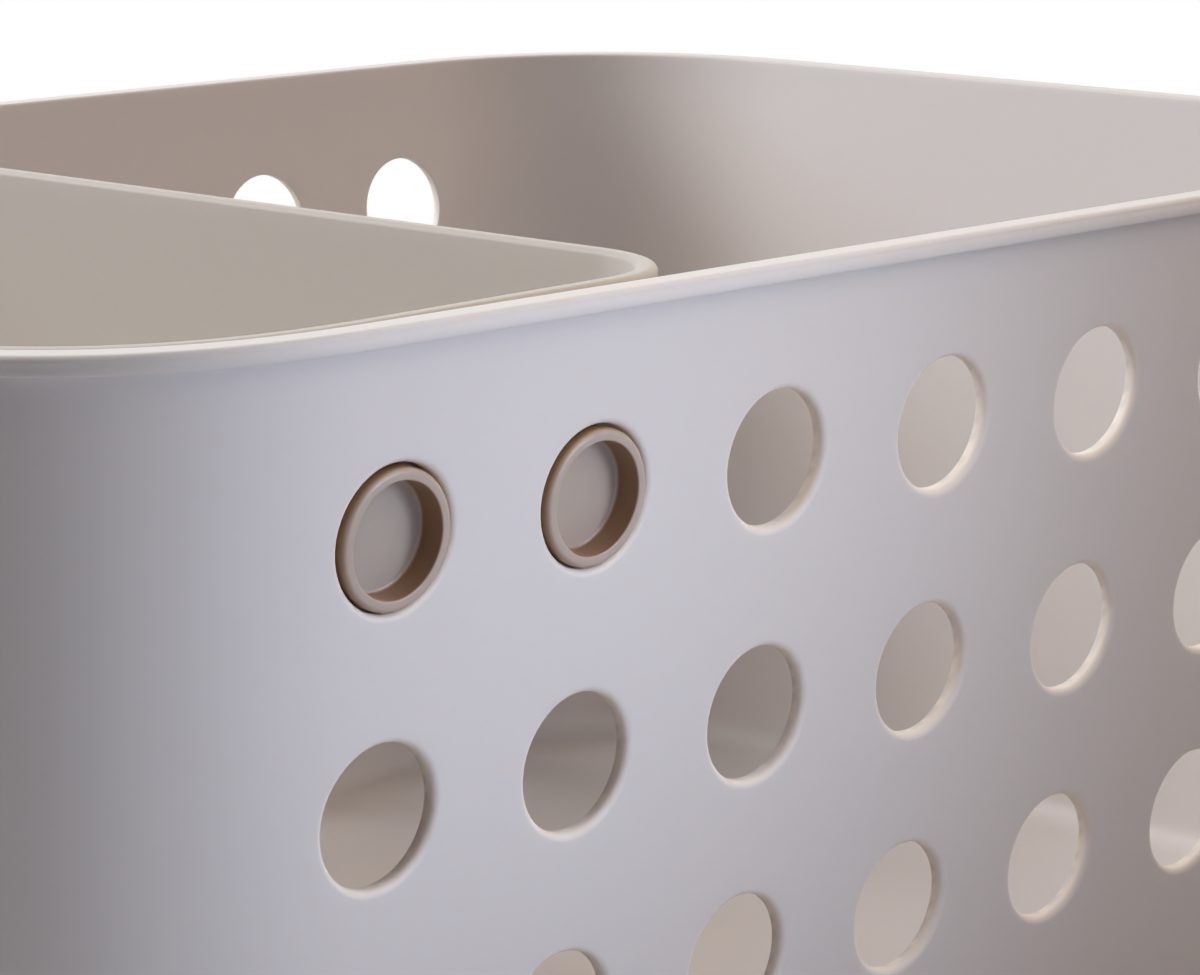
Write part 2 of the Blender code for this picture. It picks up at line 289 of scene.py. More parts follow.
cell = hole_cell()
columns = (np.arange(HOLE_COLUMNS) - 0.5 * (HOLE_COLUMNS - 1)) * PITCH_ALONG
rows = TOP_ROW_DEPTH + np.arange(HOLE_ROWS) * PITCH_DOWN
print("faces in one cell:", (cell.shape[0] - 1) * cell.shape[1])

# %% [markdown]
# ## Meshes from grids
# Everything new here is a grid of points, so one function numbers the faces of a grid and
# another joins several grids into one closed mesh. Points that two grids share are merged,
# and only then are the normals worked out, because they need to know which side is outside.

# %% Grids and meshes
def grid_faces(row_count, column_count):
    """Quads between the rows of a grid whose rows close on themselves."""
    index = np.arange(row_count * column_count).reshape(row_count, column_count)
    beside = np.roll(index, -1, axis=1)
    return np.stack((index[:-1], beside[:-1], beside[1:], index[1:]), axis=-1)


def end_rings(row_count, column_count):
    """The first and the last row of a grid, as the rings that close a piece's ends."""
    ring = np.arange(column_count)
    return ring, (row_count - 1) * column_count + ring


def swept(section, plan):
    """A section carried round: each (inset, height) point becomes the plan's ring at that inset."""
    rings = plan(section[:, 0])
    heights = np.broadcast_to(section[:, 1, None, None], rings.shape[:2] + (1,))
    return np.concatenate((rings, heights), axis=-1)


def closed_piece(name, points, quads, caps):
    """Makes one smooth mesh object from points, quads and the rings that close its ends."""
    data = bpy.data.meshes.new(name)
    faces = np.concatenate([block.reshape(-1, 4) for block in quads]).tolist()
    data.from_pydata(points.tolist(), [], faces + [cap.tolist() for cap in caps])
    mesh = bmesh.new()
    mesh.from_mesh(data)
    bmesh.ops.remove_doubles(mesh, verts=mesh.verts, dist=MERGE_DISTANCE)
    bmesh.ops.recalc_face_normals(mesh, faces=mesh.faces)
    mesh.to_mesh(data)
    mesh.free()
    data.shade_smooth()
    edge_uses = np.empty(len(data.loops), np.int32)
    data.loops.foreach_get("edge_index", edge_uses)
    open_edges = np.count_nonzero(np.bincount(edge_uses, minlength=len(data.edges)) != 2)
    piece = bpy.data.objects.new(name, data)
    bpy.context.scene.collection.objects.link(piece)
    print(name, len(data.polygons), "faces,", open_edges, "open edges")
    return piece


# %% [markdown]
# ## The basket
# The section is drawn once, from the underside round the foot, up the outside, over the
# flanged rim and down the inside to the floor. It is carried round the outline, except where
# the cells of the holes fill the long walls. The rim's lip is the detail that the eye finds
# first: it swells a little, and meets the rounded top edge in a fine crease, which stays dark
# between two bands of light.

# %% The swell of the lip
def lip_swell(low, high, steps):
    """The lip's outside, as a circle that bulges by b over a chord from the height low to high.

    With half the chord c, its radius is r = (c^2 + b^2) / 2b, and the point at the angle a lies
    r (1 - cos a) inwards and r sin a above the middle.
    """
    half = 0.5 * (high - low)
    radius = (half**2 + LIP_BULGE**2) / (2 * LIP_BULGE)
    angle = math.asin(half / radius) * np.linspace(-1, 1, steps + 1)
    return np.stack((radius * (1 - np.cos(angle)), 0.5 * (low + high) + radius * np.sin(angle)), axis=-1)


# %% Section of the basket
def basket_section():
    """The section as (inset, height) points, and where its outer and inner fields begin."""
    lean = math.tan(DRAFT)
    across = WALL / math.cos(DRAFT)
    foot = (RIM_OVERHANG + HEIGHT * lean, 0.0)
    inner_foot = (RIM_OVERHANG + across + (HEIGHT - FLOOR) * lean, FLOOR)
    middle = inner_foot[0] + FOOT_RADIUS + FLOOR_RADIUS
    neck = (RIM_OVERHANG + RIM_DEPTH * lean, HEIGHT - RIM_DEPTH)
    swell = lip_swell(HEIGHT - RIM_DEPTH, HEIGHT - CREASE_DEPTH, SWELL_STEPS)
    lip_foot, lip_side = swell[0], swell[SWELL_SKIP:]
    brow = (LIP_BULGE, HEIGHT)
    mouth = (RIM_OVERHANG + across, HEIGHT)
    foot_arc = arc((middle, 0), foot, neck, FOOT_RADIUS, ARC_STEPS)
    neck_arc = arc(foot, neck, lip_foot, RIM_LOWER_RADIUS, SMALL_ARC_STEPS)
    lip_arc = arc(neck, lip_foot, lip_side[0], RIM_LOWER_RADIUS, SMALL_ARC_STEPS)
    brow_arc = arc(lip_side[-1], brow, mouth, RIM_TOP_RADIUS, ARC_STEPS)
    mouth_arc = arc(brow, mouth, inner_foot, RIM_INNER_RADIUS, MOUTH_ARC_STEPS)
    floor_arc = arc(mouth, inner_foot, (middle, FLOOR), FLOOR_RADIUS, ARC_STEPS)
    down = np.linspace(FIELD_TOP, FIELD_BOTTOM, HOLE_ROWS * SIDE_STEPS + 1)
    outer = on_wall(down[::-1], 0.0)
    inner = on_wall(down, WALL)
    below_outer = (
        line((middle, 0), foot_arc[0], FROM_MIDDLE_SHARES),
        foot_arc,
        line(foot_arc[-1], outer[0], BESIDE_FIELD_SHARES),
    )
    over_rim = (
        line(outer[-1], neck_arc[0], BESIDE_FIELD_SHARES),
        neck_arc,
        line(neck_arc[-1], lip_arc[0], HALFWAY_SHARES),
        lip_arc,
        lip_side,
        brow_arc,
        line(brow_arc[-1], mouth_arc[0], FLAT_SHARES),
        mouth_arc,
        line(mouth_arc[-1], inner[0], BESIDE_FIELD_SHARES),
    )
    below_inner = (
        line(inner[-1], floor_arc[0], BESIDE_FIELD_SHARES),
        floor_arc,
        line(floor_arc[-1], (middle, FLOOR), TO_MIDDLE_SHARES),
    )
    outer_start = sum(len(part) for part in below_outer)
    inner_start = outer_start + len(outer) + sum(len(part) for part in over_rim)
    whole = np.concatenate((*below_outer, outer, *over_rim, inner, *below_inner))
    return whole, outer_start, inner_start


section, outer_start, inner_start = basket_section()
print("points along the section:", len(section))

# %% The basket's mesh
def basket_mesh():
    """The section carried round the plan, with the field of holes left out and tiled by cells."""
    shell = swept(section, basket_plan)
    row_count, column_count = shell.shape[:2]
    field_rows = np.zeros(row_count - 1, bool)
    for start in (outer_start, inner_start):
        field_rows[start:start + HOLE_ROWS * SIDE_STEPS] = True
    quads = grid_faces(row_count, column_count)
    blocks = [quads[~(field_rows[:, None] & in_field)]]
    points = [shell.reshape(-1, 3)]
    cell_quads = grid_faces(*cell.shape[:2])
    along = cell[..., 0] + columns[:, None, None, None]
    down = cell[..., 1] + rows[:, None, None]
    first = row_count * column_count
    for side in (-1, 1):
        tiles = wall_point(along, down, cell[..., 2], side).reshape(-1, *cell.shape)
        shifts = first + np.arange(len(tiles)) * cell[..., 0].size
        blocks.append(cell_quads + shifts[:, None, None, None])
        points.append(tiles.reshape(-1, 3))
        first += len(points[-1])
    caps = end_rings(row_count, column_count)
    return closed_piece("basket_shell", np.concatenate(points), blocks, caps)


# %% [markdown]
# ## Marks for the materials
# A material can't know by itself where a hole's edge is, and the holes' edges get a painted warm
# glow. The mesh therefore carries one number per point, as an attribute that the material reads.
# It follows from the sizes that drew the holes.

# %% Mark the edges of the holes
def point_values(piece, field):
    """A field of the mesh's points, such as co or normal, as an array of rows of three."""
    values = np.empty(3 * len(piece.data.vertices))
    piece.data.vertices.foreach_get(field, values)
    return values.reshape(-1, 3)


def store_mark(piece, name, values):
    """Keeps one number per point as an attribute."""
    mark = piece.data.attributes.new(name, "FLOAT", "POINT")
    mark.data.foreach_set("value", np.asarray(values, np.float32))


def mark_hole_edges(piece):
    """Marks where the holes' edges get a painted warm glow: 1 at a hole's radius and 0 where its rounded
    edge ends.

    With a = inset - overhang and b = height - z, a point lies a sin + b cos down the wall's
    slope and a cos - b sin deep in it, where sin and cos are those of the draft.
    """
    x, y, z = point_values(piece, "co").T
    a = HALF_WIDTH - np.abs(y) - RIM_OVERHANG
    b = HEIGHT - z
    down = a * math.sin(DRAFT) + b * math.cos(DRAFT)
    deep = a * math.cos(DRAFT) - b * math.sin(DRAFT)
    aside = np.abs(x[:, None] - columns).min(axis=1)
    above = np.abs(down[:, None] - rows).min(axis=1)
    near = 1 - (np.hypot(aside, above) - HOLE_RADIUS) / HOLE_EDGE_RADIUS
    # The mark says where the holes' painted warm glow goes.
    store_mark(piece, "hole_edge_glow", np.where(deep < WALL - HOLE_BACK_RADIUS, np.clip(near, 0, 1), 0))


basket = basket_mesh()
mark_hole_edges(basket)
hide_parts("basket_body")
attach(basket, "basket")

# %% [markdown]
# ## The tray
# The tray is a plain box without holes. Its outer end follows the basket's corners, its long
# sides draw in a little towards the partition, and the partition's corners are round arcs.
# Both kinds of corner are superellipses, so one function with two sets of numbers draws them.
# The rim has no flange: its edges are rounded until only a narrow flat is left.

# %% Plan and section of the tray
def ellipse_corner(centre, reach, power, quarter_turn):
    """A quarter of |x|^p + |y|^p = reach^p round centre, turned by whole quarters."""
    angle = np.linspace(0, math.pi / 2, CORNER_STEPS + 1)
    x = reach * np.cos(angle) ** (2 / power)
    y = reach * np.sin(angle) ** (2 / power)
    for _ in range(quarter_turn):
        x, y = -y, x
    return np.stack((centre[0] + x, centre[1] + y), axis=-1)


def past_rim(gap):
    """How far inside the rim's outer edge a piece lies that is gap away from the wall."""
    return RIM_OVERHANG + WALL / math.cos(DRAFT) + gap


def tray_plan(inset):
    """The tray's closed outline at each inset, anticlockwise from the partition's rear corner."""
    inset = np.asarray(inset, float)[..., None]
    outer = past_rim(TRAY_GAP) + inset
    low_reach = corner_reach(outer)
    high_reach = corner_reach(inset, PARTITION_CORNER)
    low_x = -HALF_LENGTH + outer + low_reach
    high_x = tray_high[0] - inset - high_reach
    low_y = HALF_WIDTH - outer - low_reach
    high_y = HALF_WIDTH - past_rim(PARTITION_GAP) - inset - high_reach
    corners = (
        ellipse_corner((high_x, high_y), high_reach, ROUND_POWER, 0),
        ellipse_corner((low_x, low_y), low_reach, CORNER_POWER, 1),
        ellipse_corner((low_x, -low_y), low_reach, CORNER_POWER, 2),
        ellipse_corner((high_x, -high_y), high_reach, ROUND_POWER, 3),
    )
    return np.concatenate(corners, axis=-2)


def tray_section():
    """The tray's section from the middle of its underside, over the rim, to the floor."""
    top, bottom = tray_high[2], tray_low[2]
    lean = math.tan(DRAFT)
    across = TRAY_WALL / math.cos(DRAFT)
    foot = ((top - bottom) * lean, bottom)
    inner_foot = (across + (top - bottom - TRAY_FLOOR) * lean, bottom + TRAY_FLOOR)
    middle = inner_foot[0] + TRAY_FOOT_RADIUS + TRAY_FLOOR_RADIUS
    floor_middle = (middle, bottom + TRAY_FLOOR)
    foot_arc = arc((middle, bottom), foot, (0, top), TRAY_FOOT_RADIUS, ARC_STEPS)
    brow_arc = arc(foot, (0, top), (across, top), TRAY_RIM_RADIUS, ARC_STEPS)
    mouth_arc = arc((0, top), (across, top), inner_foot, TRAY_RIM_RADIUS, ARC_STEPS)
    floor_arc = arc((across, top), inner_foot, floor_middle, TRAY_FLOOR_RADIUS, ARC_STEPS)
    parts = (
        line((middle, bottom), foot_arc[0], FROM_MIDDLE_SHARES),
        foot_arc,
        line(foot_arc[-1], brow_arc[0], TRAY_SIDE_SHARES),
        brow_arc,
        line(brow_arc[-1], mouth_arc[0], HALFWAY_SHARES),
        mouth_arc,
        line(mouth_arc[-1], floor_arc[0], TRAY_SIDE_SHARES),
        floor_arc,
        line(floor_arc[-1], floor_middle, TO_MIDDLE_SHARES),
    )
    return np.concatenate(parts)


# %% The tray's mesh
def tray_mesh():
    """The section carried round the tray's plan."""
    shell = swept(tray_section(), tray_plan)
    grid = shell.shape[:2]
    return closed_piece("hanging_tray", shell.reshape(-1, 3), [grid_faces(*grid)], end_rings(*grid))


tray = tray_mesh()
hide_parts("insert_tray")
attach(tray, "tray")

# %% [markdown]
# ## The ring plugs
# Each plug is a short cup whose open end shows in a hole as a ring round a shaded recess. It is
# a turned shape, so its profile of (radius, height) is spun about an axis, which leans with the
# wall. The plug hangs low in its hole, because it rests on the hole's lower edge. The ring's
# edges are rounded, and a narrow inner one catches a fine bright line.

# %% A ring plug
def tray_gap_at(x):
    """The gap between basket and tray at x: it grows in proportion from the end to the partition."""
    outer = past_rim(TRAY_GAP)
    start = -HALF_LENGTH + outer + corner_reach(outer)
    end = tray_high[0] - PARTITION_CORNER
    return TRAY_GAP + (x - start) / (end - start) * (PARTITION_GAP - TRAY_GAP)


def plug_profile(x):
    """The cup's profile as (radius, height along the axis), from its back to its floor."""
    outer = HOLE_RADIUS - PLUG_CLEARANCE
    inner = outer - PLUG_WALL
    drop = (HEIGHT - tray_high[2]) * math.tan(DRAFT)
    shoulder = -WALL - (tray_gap_at(x - outer) - drop) * math.cos(DRAFT) + FIT_GAP
    floor = PLUG_PROUD - PLUG_RECESS
    back, lip, mouth, well = (outer, shoulder), (outer, PLUG_PROUD), (inner, PLUG_PROUD), (inner, floor)
    back_arc = arc((0, shoulder), back, lip, PLUG_INNER_EDGE, SMALL_ARC_STEPS)
    lip_arc = arc(back, lip, mouth, PLUG_OUTER_EDGE, ARC_STEPS)
    mouth_arc = arc(lip, mouth, well, PLUG_INNER_EDGE, MOUTH_ARC_STEPS)
    well_arc = arc(mouth, well, (0, floor), PLUG_FLOOR_FILLET, MOUTH_ARC_STEPS)
    parts = (
        line((0, shoulder), back_arc[0], PLUG_BACK_SHARES),
        back_arc,
        line(back_arc[-1], lip_arc[0], FLAT_SHARES),
        lip_arc,
        line(lip_arc[-1], mouth_arc[0], HALFWAY_SHARES),
        mouth_arc,
        line(mouth_arc[-1], well_arc[0], FLAT_SHARES),
        well_arc,
        line(well_arc[-1], (0, floor), PLUG_WELL_SHARES),
    )
    return np.concatenate(parts)


def plug_axes(x, side):
    """A plug's middle in its hole, the two directions that span its circle, and the one outwards."""
    inset, height = on_wall(TOP_ROW_DEPTH, 0.0)
    middle = np.array((x, side * (HALF_WIDTH - inset), height - PLUG_CLEARANCE + PLUG_SEAT_GAP))
    along = np.array((1.0, 0.0, 0.0))
    outwards = np.array((0.0, side * math.cos(DRAFT), -math.sin(DRAFT)))
    return middle, along, np.cross(outwards, along), outwards


def mark_side_shade(plug, outwards):
    """Stores where the painted brown shade goes: how far each point's normal n turns from the plug's axis
    a, 1 - (n . a)^2.
    """
    # The mark says where the ring's painted brown shade goes.
    store_mark(plug, "ring_side_shade", 1 - (point_values(plug, "normal") @ outwards) ** 2)


def plug_mesh(name, x, side):
    """The profile spun about its axis: middle + r cos(a) along + r sin(a) across + h outwards."""
    profile = plug_profile(x)
    middle, along, across, outwards = plug_axes(x, side)
    angle = np.linspace(0, 2 * math.pi, PLUG_SIDES, endpoint=False)
    spoke = np.cos(angle)[:, None] * along + np.sin(angle)[:, None] * across
    radius, height = profile.T[:, :, None, None]
    points = middle + radius * spoke + height * outwards
    grid = points.shape[:2]
    plug = closed_piece(name, points.reshape(-1, 3), [grid_faces(*grid)], end_rings(*grid))
    mark_side_shade(plug, outwards)
    return plug


plugs = []
for wall, side in (("front", -1), ("rear", 1)):
    for place, x in zip(("left", "right"), columns[:PLUG_COLUMNS]):
        plug = plug_mesh(f"plug_{wall}_{place}", x, side)
        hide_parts(f"ring_plug_{wall}_{place}")
        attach(plug, "tray")
        plugs.append(plug)

# %% [markdown]
# ## Satin polypropylene
# The plastic is smooth but not glossy: the mould has a very fine matt grain, which blurs
# reflections, and the material lets a little light in, so its edges look soft. Shader groups
# hold what all three plastics share. The first is the grain, as a height. The second is a slow
# drift in tone, because pigment never spreads quite evenly in a moulding.

# %% Shader groups
GRAINS_PER_METRE = 1800.0
FINE_GRAINS_PER_GRAIN = 3.0
FINE_GRAIN_SHARE = 0.5
PATCHES_PER_METRE = 14.0
CLOUDS_PER_PATCH = 25.0
CLOUD_SHARE = 0.3


def new_group(name, inputs, result):
    """A shader group with named number inputs and one result, and its two end nodes."""
    group = bpy.data.node_groups.new(name, "ShaderNodeTree")
    for label, value in inputs.items():
        socket = group.interface.new_socket(label, in_out="INPUT", socket_type="NodeSocketFloat")
        socket.default_value = value
    group.interface.new_socket(result, in_out="OUTPUT", socket_type="NodeSocketFloat")
    return group, group.nodes.new("NodeGroupInput"), group.nodes.new("NodeGroupOutput")


def maths(tree, operation, first, second):
    """A Math node: each operand is a socket or a number."""
    node = tree.nodes.new("ShaderNodeMath")
    node.operation = operation
    for slot, value in enumerate((first, second)):
        if isinstance(value, bpy.types.NodeSocket):
            tree.links.new(value, node.inputs[slot])
        else:
            node.inputs[slot].default_value = value
    return node.outputs[0]


def noise(group, coordinates, scale, detail):
    """Blender's noise on the given coordinates, with a scale per metre from a socket."""
    node = group.nodes.new("ShaderNodeTexNoise")
    group.links.new(coordinates, node.inputs["Vector"])
    group.links.new(scale, node.inputs["Scale"])
    node.inputs["Detail"].default_value = detail
    return node.outputs["Fac"]


def mould_grain():
    """Height of a matt grain: coarse noise plus half as much noise three times finer."""
    group, source, sink = new_group("mould_grain", {"Grains per metre": GRAINS_PER_METRE}, "Height")
    place = group.nodes.new("ShaderNodeTexCoord").outputs["Object"]
    coarse = noise(group, place, source.outputs["Grains per metre"], detail=2.0)
    fine_scale = maths(group, "MULTIPLY", source.outputs["Grains per metre"], FINE_GRAINS_PER_GRAIN)
    fine = maths(group, "MULTIPLY", noise(group, place, fine_scale, detail=1.0), FINE_GRAIN_SHARE)
    group.links.new(maths(group, "ADD", coarse, fine), sink.inputs["Height"])
    return group


def tone_drift():
    """A mask from 0 to 1 that drifts over some centimetres, with a trace of finer cloudiness."""
    group, source, sink = new_group("tone_drift", {"Patches per metre": PATCHES_PER_METRE}, "Mask")
    place = group.nodes.new("ShaderNodeTexCoord").outputs["Object"]
    slow = noise(group, place, source.outputs["Patches per metre"], detail=1.0)
    cloud_scale = maths(group, "MULTIPLY", source.outputs["Patches per metre"], CLOUDS_PER_PATCH)
    clouds = maths(group, "MULTIPLY", noise(group, place, cloud_scale, detail=3.0), CLOUD_SHARE)
    mask = maths(group, "MULTIPLY", maths(group, "ADD", slow, clouds), 1 / (1 + CLOUD_SHARE))
    group.links.new(mask, sink.inputs["Mask"])
    return group


GRAIN = mould_grain()
DRIFT = tone_drift()

# %% [markdown]
# ## Painted edge highlight
# The rounded edges are painted a touch paler. This painted highlight stands in for the light they
# catch. Pointiness, which Blender works out from the mesh, is high on such edges, so a narrow band
# of it makes the mask.

# %% The edge mask
def painted_edge_highlight():
    """A mask of the outer edges for the painted highlight: pointiness between two levels, spread over 0
    to 1.
    """
    group, source, sink = new_group("painted_edge_highlight", {"From": 0.52, "To": 0.62}, "Mask")
    pointed = group.nodes.new("ShaderNodeNewGeometry").outputs["Pointiness"]
    spread = group.nodes.new("ShaderNodeMapRange")
    group.links.new(pointed, spread.inputs["Value"])
    group.links.new(source.outputs["From"], spread.inputs["From Min"])
    group.links.new(source.outputs["To"], spread.inputs["From Max"])
    group.links.new(spread.outputs["Result"], sink.inputs["Mask"])
    return group


EDGE_HIGHLIGHT = painted_edge_highlight()

# %% [markdown]
# ## Three colours of one plastic
# The basket is pale, the tray beige, and the ring plugs a little browner. Two places get painted
# light. The ring's sides get a painted brown shade, as light that comes out of a narrow ring's
# sides is much browner than off its face. The holes' edges get a painted warm, paler glow, as of
# light that seeps through the wall. An attribute that the meshes carry says where they are.

# %% How a plastic is made
EDGE_HIGHLIGHT_GAIN = 1.25
PALEST = 0.9
SHINE_DRIFT = 0.03
GRAIN_STRENGTH = 0.35
GRAIN_HEIGHT = 0.012 * MM
PLASTIC_IOR = 1.49


def add_group(material, group):
    """A node of the material that holds the group."""
    node = material.node_tree.nodes.new("ShaderNodeGroup")
    node.node_tree = group
    return node


def blend_colours(material, mask, low, high):
    """Mixes two colours: low where the mask is 0, and high where it is 1."""
    tree = material.node_tree
    mix = tree.nodes.new("ShaderNodeMix")
    mix.data_type = "RGBA"
    tree.links.new(mask, mix.inputs["Factor"])
    for slot, colour in (("A", low), ("B", high)):
        socket = next(one for one in mix.inputs if one.name == slot and one.type == "RGBA")
        if isinstance(colour, bpy.types.NodeSocket):
            tree.links.new(colour, socket)
        else:
            socket.default_value = (*colour, 1.0)
    return next(one for one in mix.outputs if one.type == "RGBA")


def satin_plastic(name, colour, drift, edge_highlight, roughness, glow, glow_radius, glow_colour):
    """Satin polypropylene: colour and roughness that drift, a painted highlight on the edges, grain and
    soft depth.
    """
    material = bpy.data.materials.new(name)
    material.use_nodes = True
    tree = material.node_tree
    shader = tree.nodes["Principled BSDF"]
    colour = np.array(colour)
    drift_mask = add_group(material, DRIFT).outputs["Mask"]
    edge_highlight_mask = add_group(material, EDGE_HIGHLIGHT).outputs["Mask"]
    body = blend_colours(material, drift_mask, colour * (1 - drift), colour * (1 + drift))
    # Painted highlight: the colour turns paler where the edge mask is high.
    edge_highlight_share = maths(tree, "MULTIPLY", edge_highlight_mask, edge_highlight)
    skin = blend_colours(material, edge_highlight_share, body, np.minimum(colour * EDGE_HIGHLIGHT_GAIN, PALEST))
    tree.links.new(skin, shader.inputs["Base Color"])
    shine = tree.nodes.new("ShaderNodeMapRange")
    tree.links.new(drift_mask, shine.inputs["Value"])
    shine.inputs["To Min"].default_value = roughness - SHINE_DRIFT
    shine.inputs["To Max"].default_value = roughness + SHINE_DRIFT
    tree.links.new(shine.outputs["Result"], shader.inputs["Roughness"])
    bump = tree.nodes.new("ShaderNodeBump")
    bump.inputs["Strength"].default_value = GRAIN_STRENGTH
    bump.inputs["Distance"].default_value = GRAIN_HEIGHT
    tree.links.new(add_group(material, GRAIN).outputs["Height"], bump.inputs["Height"])
    tree.links.new(bump.outputs["Normal"], shader.inputs["Normal"])
    shader.inputs["Metallic"].default_value = 0.0
    shader.inputs["IOR"].default_value = PLASTIC_IOR
    shader.inputs["Subsurface Weight"].default_value = glow
    shader.inputs["Subsurface Scale"].default_value = glow_radius
    shader.inputs["Subsurface Radius"].default_value = glow_colour
    return material


def paint_light_where_marked(material, mark_name, tint):
    """Paints light or shade into the colour: turns it to the tint where the mesh's attribute is high."""
    tree = material.node_tree
    base_colour = tree.nodes["Principled BSDF"].inputs["Base Color"]
    mark = tree.nodes.new("ShaderNodeAttribute")
    mark.attribute_name = mark_name
    skin = base_colour.links[0].from_socket
    tree.links.new(blend_colours(material, mark.outputs["Fac"], skin, tint), base_colour)


# %% The three plastics
pale_plastic = satin_plastic(
    "pale_satin_plastic",
    colour=(0.74, 0.69, 0.665),
    drift=0.012,
    edge_highlight=0.55,
    roughness=0.52,
    glow=0.25,
    glow_radius=2.0 * MM,
    glow_colour=(1.0, 0.75, 0.6),
)
tray_plastic = satin_plastic(
    "beige_satin_plastic",
    colour=(0.56, 0.505, 0.45),
    drift=0.015,
    edge_highlight=0.9,
    roughness=0.55,
    glow=0.25,
    glow_radius=1.6 * MM,
    glow_colour=(1.0, 0.65, 0.4),
)
plug_plastic = satin_plastic(
    "brown_beige_satin_plastic",
    colour=(0.48, 0.395, 0.335),
    drift=0.015,
    edge_highlight=0.1,
    roughness=0.3,
    glow=0.3,
    glow_radius=2.0 * MM,
    glow_colour=(1.0, 0.5, 0.25),
)
# Painted shade: the ring's sides and its recess's wall are painted dark brown, as if shaded and warmed by
# light through the thin ring.
paint_light_where_marked(plug_plastic, "ring_side_shade", (0.31, 0.175, 0.09))
# Painted glow: the holes' rounded edges are painted a warm, paler colour, as if lit by light seeping
# through the wall.
paint_light_where_marked(pale_plastic, "hole_edge_glow", (0.92, 0.82, 0.73))

# %% Give each piece its plastic
basket.data.materials.append(pale_plastic)
tray.data.materials.append(tray_plastic)
for plug in plugs:
    plug.data.materials.append(plug_plastic)

# %% [markdown]
# ## The camera
# The photograph is taken from close by with a long lens, from the tray's end and a little
# above the rim. The camera's place and turn were worked out from the holes' centres and the
# rim's straight lines, and are given in the basket's own frame.

# %% The camera
PHOTO_WIDTH, PHOTO_HEIGHT = 1200, 975
SENSOR = 36.0
FOCAL_PIXELS = 4257.15
CAMERA_PLACE = np.array((-478.7, -495.9, 226.17)) * MM
HEADING = math.radians(46.767)
DIP = math.radians(11.329)
NEAREST_SEEN, FARTHEST_SEEN = 0.01, 50.0


def add_camera():
    """A camera that looks along (sin h cos d, cos h cos d, -sin d), with level horizontals."""
    data = bpy.data.cameras.new("camera")
    data.sensor_width = SENSOR
    data.sensor_fit = "HORIZONTAL"
    data.lens = FOCAL_PIXELS / PHOTO_WIDTH * SENSOR
    data.clip_start = NEAREST_SEEN
    data.clip_end = FARTHEST_SEEN
    level = math.cos(DIP)
    ahead = Vector((math.sin(HEADING) * level, math.cos(HEADING) * level, -math.sin(DIP)))
    right = Vector((math.cos(HEADING), -math.sin(HEADING), 0.0))
    turn = Matrix((right, right.cross(ahead), -ahead)).transposed().to_4x4()
    camera = bpy.data.objects.new("camera", data)
    camera.matrix_world = Matrix.Translation(CAMERA_PLACE) @ turn
    bpy.context.scene.collection.objects.link(camera)
    bpy.context.scene.camera = camera


add_camera()

# %% [markdown]
# ## Floor, light and air
# The basket stands on a plain white sweep. Near it the floor shows the soft shadow, and
# further out it turns pure white. Three large lamps behind the basket's left end fill its
# inside, and a weak cool one at the right lights the rim's top. A warm lamp beyond the right end
# grazes the perforated wall, which gets the rest of its light from small lamps close in front of
# the ring plugs. So it is cool and bright there, and darkens and warms towards its far end. What
# shines sees a white room, and what scatters light doesn't, so the rim stays bright.

# %% The floor
FLOOR_HALF = 6.0
FLOOR_ROUGHNESS = 0.8
FLOOR_SEEN = (0.9, 0.9, 0.9)
FLOOR_BOUNCE = (0.5, 0.5, 0.5)
FADE_START, FADE_END = 0.22, 0.7


def seen_directly(tree, path):
    """1 for a ray from the camera, or one that was mirrored or let through, and 0 for the rest."""
    seen = maths(tree, "MAXIMUM", path.outputs["Is Camera Ray"], path.outputs["Is Glossy Ray"])
    return maths(tree, "MAXIMUM", seen, path.outputs["Is Transmission Ray"])


def add_floor():
    """A wide square whose material goes from a lit white to a glowing one with distance.

    Light that bounces off it sees a greyer floor, as on a small table between dark flags.
    """
    corners = [(x * FLOOR_HALF, y * FLOOR_HALF, 0) for x, y in ((-1, -1), (1, -1), (1, 1), (-1, 1))]
    data = bpy.data.meshes.new("floor")
    data.from_pydata(corners, [], [(0, 1, 2, 3)])
    floor = bpy.data.objects.new("floor", data)
    bpy.context.scene.collection.objects.link(floor)
    material = bpy.data.materials.new("white_sweep")
    material.use_nodes = True
    tree = material.node_tree
    shader = tree.nodes["Principled BSDF"]
    shader.inputs["Roughness"].default_value = FLOOR_ROUGHNESS
    path = tree.nodes.new("ShaderNodeLightPath")
    tint = blend_colours(material, path.outputs["Is Diffuse Ray"], FLOOR_SEEN, FLOOR_BOUNCE)
    tree.links.new(tint, shader.inputs["Base Color"])
    glow = tree.nodes.new("ShaderNodeEmission")
    mix = tree.nodes.new("ShaderNodeMixShader")
    place = tree.nodes.new("ShaderNodeTexCoord")
    distance = tree.nodes.new("ShaderNodeVectorMath")
    distance.operation = "LENGTH"
    tree.links.new(place.outputs["Object"], distance.inputs[0])
    fade = tree.nodes.new("ShaderNodeMapRange")
    fade.interpolation_type = "SMOOTHSTEP"
    fade.inputs["From Min"].default_value = FADE_START
    fade.inputs["From Max"].default_value = FADE_END
    tree.links.new(distance.outputs["Value"], fade.inputs["Value"])
    seen = seen_directly(tree, path)
    tree.links.new(maths(tree, "MULTIPLY", fade.outputs["Result"], seen), mix.inputs["Fac"])
    tree.links.new(shader.outputs["BSDF"], mix.inputs[1])
    tree.links.new(glow.outputs["Emission"], mix.inputs[2])
    output = tree.nodes["Material Output"]
    tree.links.new(mix.outputs["Shader"], output.inputs["Surface"])
    data.materials.append(material)


add_floor()

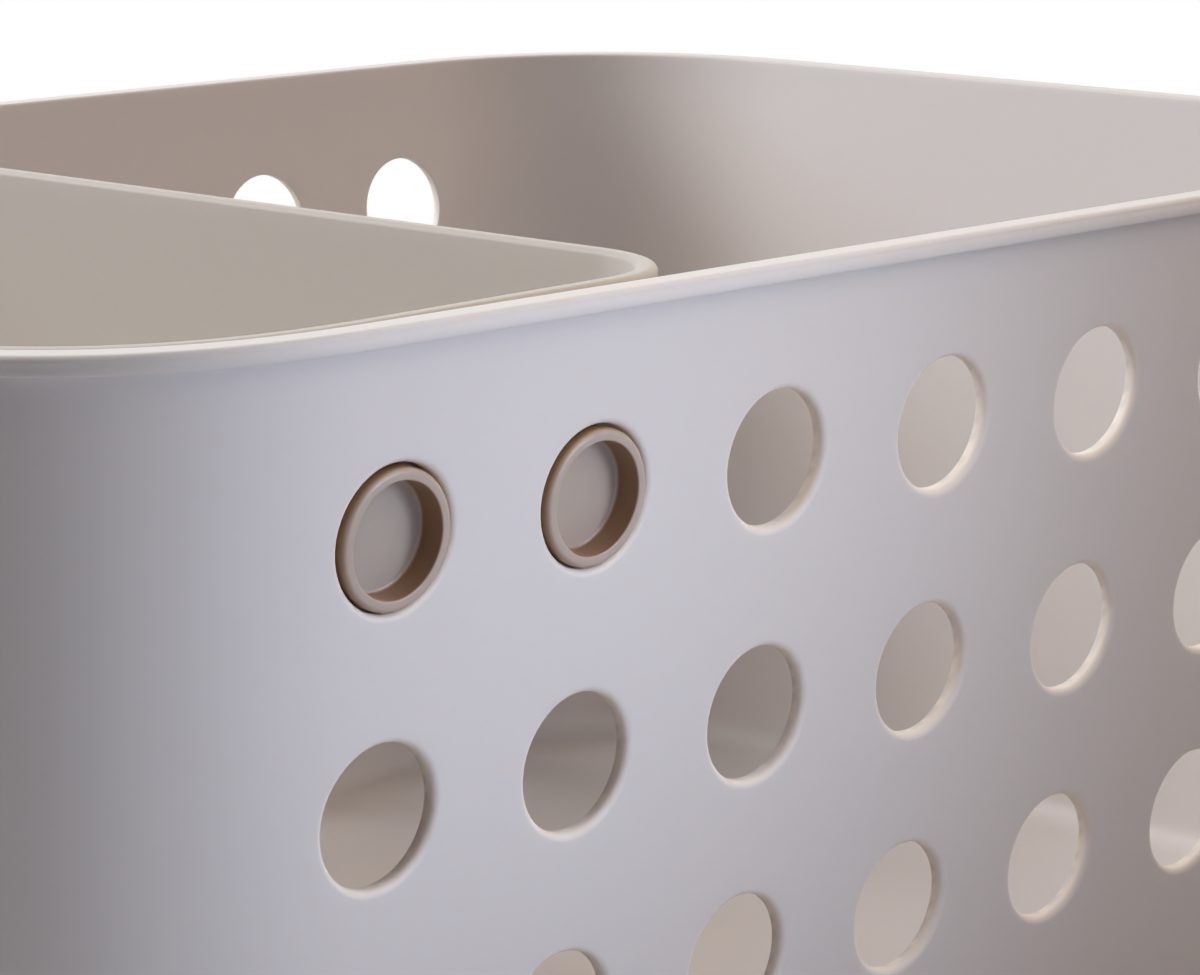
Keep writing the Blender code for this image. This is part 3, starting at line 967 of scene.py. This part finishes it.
# %% The world
def add_world():
    """A room that is white to the camera and to reflections, and gives no light of its own."""
    world = bpy.data.worlds.new("white_room")
    bpy.context.scene.world = world
    world.use_nodes = True
    tree = world.node_tree
    white = tree.nodes["Background"]
    white.inputs["Color"].default_value = (1.0, 1.0, 1.0, 1.0)
    path = tree.nodes.new("ShaderNodeLightPath")
    tree.links.new(seen_directly(tree, path), white.inputs["Strength"])


add_world()

# %% The lamps
ROOM_MIDDLE = (0.0, 0.0, 0.09)
OPEN_BEAM = 180.0


def add_softbox(name, place, size, power, colour, target=ROOM_MIDDLE, spread=OPEN_BEAM):
    """A square lamp at place that faces target. Spread, in degrees, narrows its beam like a grid."""
    data = bpy.data.lights.new(name, "AREA")
    data.shape = "SQUARE"
    data.size = size
    data.energy = power
    data.color = colour
    data.spread = math.radians(spread)
    lamp = bpy.data.objects.new(name, data)
    aim = Vector(target) - Vector(place)
    lamp.matrix_world = Matrix.Translation(place) @ aim.to_track_quat("-Z", "Y").to_matrix().to_4x4()
    lamp.visible_camera = False
    bpy.context.scene.collection.objects.link(lamp)


add_softbox("back_left_softbox", (-0.753, 0.753, 0.826), size=0.7, power=6.68, colour=(0.991, 0.988, 1.0))
add_softbox("back_high_softbox", (-0.435, 0.753, 1.056), size=0.7, power=6.2, colour=(1.0, 0.878, 0.778))
add_softbox("back_low_softbox", (-0.574, 0.994, 0.70), size=0.7, power=5.96, colour=(0.604, 0.805, 1.0))
add_softbox("back_right_softbox", (0.753, 0.753, 0.826), size=0.7, power=2.0, colour=(0.5, 0.8, 1.0))
add_softbox("side_softbox", (0.80, -0.25, 0.85), size=0.6, power=4.46, colour=(1.0, 0.804, 0.646))
add_softbox(
    "close_front_lamp",
    (-0.10, -0.30, 0.11),
    size=0.12,
    power=0.066,
    colour=(0.455, 0.59, 1.0),
    target=(-0.10, -0.10, 0.10),
)
add_softbox(
    "close_high_lamp",
    (-0.02, -0.33, 0.30),
    size=0.2,
    power=0.285,
    colour=(1.0, 0.91, 0.85),
    target=(-0.08, -0.10, 0.10),
)
add_softbox(
    "close_spot",
    (0.02, -0.34, 0.14),
    size=0.08,
    power=0.042,
    colour=(0.70, 0.825, 1.0),
    target=(-0.10, -0.11, 0.09),
    spread=70.0,
)

# %% Final settings
scene = bpy.context.scene
scene.view_settings.view_transform = "Standard"
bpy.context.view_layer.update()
